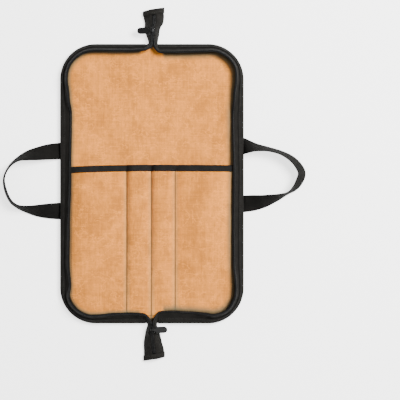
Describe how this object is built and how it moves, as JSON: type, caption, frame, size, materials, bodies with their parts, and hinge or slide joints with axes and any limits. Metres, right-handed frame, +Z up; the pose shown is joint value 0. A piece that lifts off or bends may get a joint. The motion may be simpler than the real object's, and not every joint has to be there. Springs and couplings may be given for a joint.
{
  "type": "chef knife roll",
  "caption": "Waxed canvas knife roll lying open, with a pocketed half, a zip round its edge and a webbing handle on each side.",
  "frame": {"origin": "middle of the underside, on the surface the open roll lies on", "axes": "+X to the right half, +Y to the top zip tail, +Z up from the surface to the pockets"},
  "size_m": [0.4534, 0.5276, 0.025],
  "materials": {
    "canvas": "matte waxed canvas",
    "tape": "matte woven tape",
    "webbing": "matte webbing",
    "coil": "satin",
    "metal": "satin black"
  },
  "bodies": {
    "roll": {"outer_panel": "canvas", "lining": "canvas", "pocket_panel": "canvas", "pocket_binding": "tape", "edge_binding_left": "tape", "edge_binding_right": "tape", "zip_tape_left": "tape", "zip_tape_right": "tape", "zip_coil_left": "coil", "zip_coil_right": "coil", "zip_coil_tail_top": "coil", "zip_coil_tail_bottom": "coil", "tail_hem_top": "tape", "tail_hem_bottom": "tape", "handle_left": "webbing", "handle_right": "webbing", "slider_top": "metal", "slider_bottom": "metal"},
    "top_pull": {"pull_top": "metal"},
    "bottom_pull": {"pull_bottom": "metal"}
  },
  "joints": [
    {"name": "pull_top_swing", "type": "hinge", "parent": "roll", "child": "top_pull", "pos_m": [0.0008, 0.227, 0.0195], "axis": [0, 1, 0], "range_deg": [0, 200]},
    {"name": "pull_bottom_swing", "type": "hinge", "parent": "roll", "child": "bottom_pull", "pos_m": [0.00072, -0.217, 0.01938], "axis": [0, -1, 0], "range_deg": [0, 200]}
  ]
}
